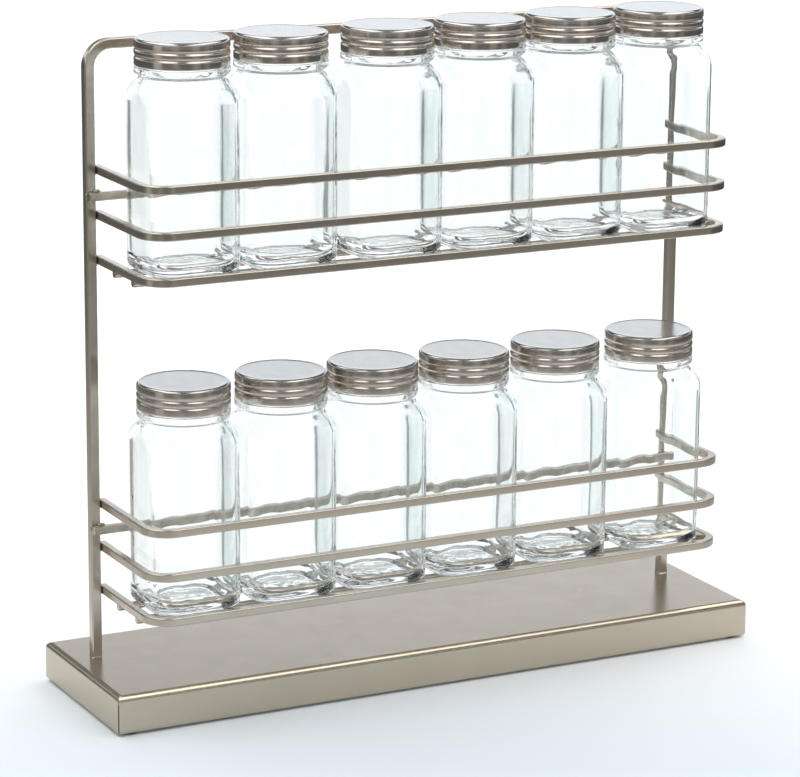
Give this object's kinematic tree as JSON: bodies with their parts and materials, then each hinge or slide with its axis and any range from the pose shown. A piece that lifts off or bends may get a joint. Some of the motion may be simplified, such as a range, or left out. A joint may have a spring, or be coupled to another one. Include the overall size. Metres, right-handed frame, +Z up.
{
  "type": "spice jar rack",
  "caption": "Free-standing two-tier countertop rack of square steel bar on a flat sheet base, holding rows of square glass spice jars with screw lids.",
  "frame": {"origin": "middle of the footprint, on the surface the rack stands on", "axes": "+Z up, -Y towards the front where the baskets are, +X to the right along the rack as seen from the front"},
  "size_m": [0.35, 0.0966, 0.3267],
  "materials": {
    "satin_nickel": "satin nickel plating on square steel bar",
    "sheet_steel": "satin nickel finish on folded sheet",
    "lid_steel": "brushed stainless, fine lines round the skirt",
    "zinc_steel": "zinc plated",
    "clear_glass": "clear soda-lime glass, faintly green at its edges",
    "seal_plastic": "white foamed plastic",
    "rubber": "black rubber, dull"
  },
  "bodies": {
    "rack": {"base_tray": "sheet_steel", "foot_front_left": "rubber", "foot_front_right": "rubber", "foot_back_left": "rubber", "foot_back_right": "rubber", "hoop_frame": "satin_nickel", "post_screw_left": "zinc_steel", "post_screw_right": "zinc_steel", "post_washer_left": "zinc_steel", "post_washer_right": "zinc_steel", "lower_rail_bottom": "satin_nickel", "lower_rail_middle": "satin_nickel", "lower_rail_top": "satin_nickel", "lower_crossbar": "satin_nickel", "lower_floor_rod_front": "satin_nickel", "lower_floor_rod_back": "satin_nickel", "upper_rail_bottom": "satin_nickel", "upper_rail_middle": "satin_nickel", "upper_rail_top": "satin_nickel", "upper_crossbar": "satin_nickel", "upper_floor_rod_front": "satin_nickel", "upper_floor_rod_back": "satin_nickel"},
    "lower_jar_1": {"lower_jar_1": "clear_glass"},
    "lower_disc_1": {"lower_disc_1": "seal_plastic"},
    "lower_lid_1": {"lower_lid_1": "lid_steel"},
    "lower_jar_2": {"lower_jar_2": "clear_glass"},
    "lower_disc_2": {"lower_disc_2": "seal_plastic"},
    "lower_lid_2": {"lower_lid_2": "lid_steel"},
    "lower_jar_3": {"lower_jar_3": "clear_glass"},
    "lower_disc_3": {"lower_disc_3": "seal_plastic"},
    "lower_lid_3": {"lower_lid_3": "lid_steel"},
    "lower_jar_4": {"lower_jar_4": "clear_glass"},
    "lower_disc_4": {"lower_disc_4": "seal_plastic"},
    "lower_lid_4": {"lower_lid_4": "lid_steel"},
    "lower_jar_5": {"lower_jar_5": "clear_glass"},
    "lower_disc_5": {"lower_disc_5": "seal_plastic"},
    "lower_lid_5": {"lower_lid_5": "lid_steel"},
    "lower_jar_6": {"lower_jar_6": "clear_glass"},
    "lower_disc_6": {"lower_disc_6": "seal_plastic"},
    "lower_lid_6": {"lower_lid_6": "lid_steel"},
    "upper_jar_1": {"upper_jar_1": "clear_glass"},
    "upper_disc_1": {"upper_disc_1": "seal_plastic"},
    "upper_lid_1": {"upper_lid_1": "lid_steel"},
    "upper_jar_2": {"upper_jar_2": "clear_glass"},
    "upper_disc_2": {"upper_disc_2": "seal_plastic"},
    "upper_lid_2": {"upper_lid_2": "lid_steel"},
    "upper_jar_3": {"upper_jar_3": "clear_glass"},
    "upper_disc_3": {"upper_disc_3": "seal_plastic"},
    "upper_lid_3": {"upper_lid_3": "lid_steel"},
    "upper_jar_4": {"upper_jar_4": "clear_glass"},
    "upper_disc_4": {"upper_disc_4": "seal_plastic"},
    "upper_lid_4": {"upper_lid_4": "lid_steel"},
    "upper_jar_5": {"upper_jar_5": "clear_glass"},
    "upper_disc_5": {"upper_disc_5": "seal_plastic"},
    "upper_lid_5": {"upper_lid_5": "lid_steel"},
    "upper_jar_6": {"upper_jar_6": "clear_glass"},
    "upper_disc_6": {"upper_disc_6": "seal_plastic"},
    "upper_lid_6": {"upper_lid_6": "lid_steel"}
  },
  "joints": [
    {"name": "lower_jar_1_lift", "type": "slide", "parent": "rack", "child": "lower_jar_1", "axis": [0, 0, 1], "range_m": [0, 0.0463]},
    {"name": "lower_lid_1_rise", "type": "slide", "parent": "lower_jar_1", "child": "lower_disc_1", "axis": [0, 0, 1], "range_m": [0, 0.0032]},
    {"name": "lower_lid_1_turn", "type": "hinge", "parent": "lower_disc_1", "child": "lower_lid_1", "pos_m": [-0.1285, -0.01875, 0.1631], "axis": [0, 0, 1], "range_deg": [0, 270]},
    {"name": "lower_jar_2_lift", "type": "slide", "parent": "rack", "child": "lower_jar_2", "axis": [0, 0, 1], "range_m": [0, 0.0463]},
    {"name": "lower_lid_2_rise", "type": "slide", "parent": "lower_jar_2", "child": "lower_disc_2", "axis": [0, 0, 1], "range_m": [0, 0.0032]},
    {"name": "lower_lid_2_turn", "type": "hinge", "parent": "lower_disc_2", "child": "lower_lid_2", "pos_m": [-0.0775, -0.01875, 0.1631], "axis": [0, 0, 1], "range_deg": [0, 270]},
    {"name": "lower_jar_3_lift", "type": "slide", "parent": "rack", "child": "lower_jar_3", "axis": [0, 0, 1], "range_m": [0, 0.0463]},
    {"name": "lower_lid_3_rise", "type": "slide", "parent": "lower_jar_3", "child": "lower_disc_3", "axis": [0, 0, 1], "range_m": [0, 0.0032]},
    {"name": "lower_lid_3_turn", "type": "hinge", "parent": "lower_disc_3", "child": "lower_lid_3", "pos_m": [-0.0285, -0.01875, 0.1631], "axis": [0, 0, 1], "range_deg": [0, 270]},
    {"name": "lower_jar_4_lift", "type": "slide", "parent": "rack", "child": "lower_jar_4", "axis": [0, 0, 1], "range_m": [0, 0.0463]},
    {"name": "lower_lid_4_rise", "type": "slide", "parent": "lower_jar_4", "child": "lower_disc_4", "axis": [0, 0, 1], "range_m": [0, 0.0032]},
    {"name": "lower_lid_4_turn", "type": "hinge", "parent": "lower_disc_4", "child": "lower_lid_4", "pos_m": [0.022, -0.01875, 0.1631], "axis": [0, 0, 1], "range_deg": [0, 270]},
    {"name": "lower_jar_5_lift", "type": "slide", "parent": "rack", "child": "lower_jar_5", "axis": [0, 0, 1], "range_m": [0, 0.0463]},
    {"name": "lower_lid_5_rise", "type": "slide", "parent": "lower_jar_5", "child": "lower_disc_5", "axis": [0, 0, 1], "range_m": [0, 0.0032]},
    {"name": "lower_lid_5_turn", "type": "hinge", "parent": "lower_disc_5", "child": "lower_lid_5", "pos_m": [0.0735, -0.01875, 0.1631], "axis": [0, 0, 1], "range_deg": [0, 270]},
    {"name": "lower_jar_6_lift", "type": "slide", "parent": "rack", "child": "lower_jar_6", "axis": [0, 0, 1], "range_m": [0, 0.0463]},
    {"name": "lower_lid_6_rise", "type": "slide", "parent": "lower_jar_6", "child": "lower_disc_6", "axis": [0, 0, 1], "range_m": [0, 0.0032]},
    {"name": "lower_lid_6_turn", "type": "hinge", "parent": "lower_disc_6", "child": "lower_lid_6", "pos_m": [0.128, -0.01875, 0.1631], "axis": [0, 0, 1], "range_deg": [0, 270]},
    {"name": "upper_jar_1_lift", "type": "slide", "parent": "rack", "child": "upper_jar_1", "axis": [0, 0, 1], "range_m": [0, 0.12]},
    {"name": "upper_lid_1_rise", "type": "slide", "parent": "upper_jar_1", "child": "upper_disc_1", "axis": [0, 0, 1], "range_m": [0, 0.0032]},
    {"name": "upper_lid_1_turn", "type": "hinge", "parent": "upper_disc_1", "child": "upper_lid_1", "pos_m": [-0.128, -0.01875, 0.3267], "axis": [0, 0, 1], "range_deg": [0, 270]},
    {"name": "upper_jar_2_lift", "type": "slide", "parent": "rack", "child": "upper_jar_2", "axis": [0, 0, 1], "range_m": [0, 0.12]},
    {"name": "upper_lid_2_rise", "type": "slide", "parent": "upper_jar_2", "child": "upper_disc_2", "axis": [0, 0, 1], "range_m": [0, 0.0032]},
    {"name": "upper_lid_2_turn", "type": "hinge", "parent": "upper_disc_2", "child": "upper_lid_2", "pos_m": [-0.0775, -0.01875, 0.3267], "axis": [0, 0, 1], "range_deg": [0, 270]},
    {"name": "upper_jar_3_lift", "type": "slide", "parent": "rack", "child": "upper_jar_3", "axis": [0, 0, 1], "range_m": [0, 0.12]},
    {"name": "upper_lid_3_rise", "type": "slide", "parent": "upper_jar_3", "child": "upper_disc_3", "axis": [0, 0, 1], "range_m": [0, 0.0032]},
    {"name": "upper_lid_3_turn", "type": "hinge", "parent": "upper_disc_3", "child": "upper_lid_3", "pos_m": [-0.0215, -0.01875, 0.3267], "axis": [0, 0, 1], "range_deg": [0, 270]},
    {"name": "upper_jar_4_lift", "type": "slide", "parent": "rack", "child": "upper_jar_4", "axis": [0, 0, 1], "range_m": [0, 0.12]},
    {"name": "upper_lid_4_rise", "type": "slide", "parent": "upper_jar_4", "child": "upper_disc_4", "axis": [0, 0, 1], "range_m": [0, 0.0032]},
    {"name": "upper_lid_4_turn", "type": "hinge", "parent": "upper_disc_4", "child": "upper_lid_4", "pos_m": [0.0285, -0.01875, 0.3267], "axis": [0, 0, 1], "range_deg": [0, 270]},
    {"name": "upper_jar_5_lift", "type": "slide", "parent": "rack", "child": "upper_jar_5", "axis": [0, 0, 1], "range_m": [0, 0.12]},
    {"name": "upper_lid_5_rise", "type": "slide", "parent": "upper_jar_5", "child": "upper_disc_5", "axis": [0, 0, 1], "range_m": [0, 0.0032]},
    {"name": "upper_lid_5_turn", "type": "hinge", "parent": "upper_disc_5", "child": "upper_lid_5", "pos_m": [0.0785, -0.01875, 0.3267], "axis": [0, 0, 1], "range_deg": [0, 270]},
    {"name": "upper_jar_6_lift", "type": "slide", "parent": "rack", "child": "upper_jar_6", "axis": [0, 0, 1], "range_m": [0, 0.12]},
    {"name": "upper_lid_6_rise", "type": "slide", "parent": "upper_jar_6", "child": "upper_disc_6", "axis": [0, 0, 1], "range_m": [0, 0.0032]},
    {"name": "upper_lid_6_turn", "type": "hinge", "parent": "upper_disc_6", "child": "upper_lid_6", "pos_m": [0.129, -0.01875, 0.3267], "axis": [0, 0, 1], "range_deg": [0, 270]}
  ],
  "couplings": [
    {"joint": "lower_lid_1_rise", "follows": "lower_lid_1_turn", "m_per_rad": 0.000673},
    {"joint": "lower_lid_2_rise", "follows": "lower_lid_2_turn", "m_per_rad": 0.000673},
    {"joint": "lower_lid_3_rise", "follows": "lower_lid_3_turn", "m_per_rad": 0.000673},
    {"joint": "lower_lid_4_rise", "follows": "lower_lid_4_turn", "m_per_rad": 0.000673},
    {"joint": "lower_lid_5_rise", "follows": "lower_lid_5_turn", "m_per_rad": 0.000673},
    {"joint": "lower_lid_6_rise", "follows": "lower_lid_6_turn", "m_per_rad": 0.000673},
    {"joint": "upper_lid_1_rise", "follows": "upper_lid_1_turn", "m_per_rad": 0.000673},
    {"joint": "upper_lid_2_rise", "follows": "upper_lid_2_turn", "m_per_rad": 0.000673},
    {"joint": "upper_lid_3_rise", "follows": "upper_lid_3_turn", "m_per_rad": 0.000673},
    {"joint": "upper_lid_4_rise", "follows": "upper_lid_4_turn", "m_per_rad": 0.000673},
    {"joint": "upper_lid_5_rise", "follows": "upper_lid_5_turn", "m_per_rad": 0.000673},
    {"joint": "upper_lid_6_rise", "follows": "upper_lid_6_turn", "m_per_rad": 0.000673}
  ]
}
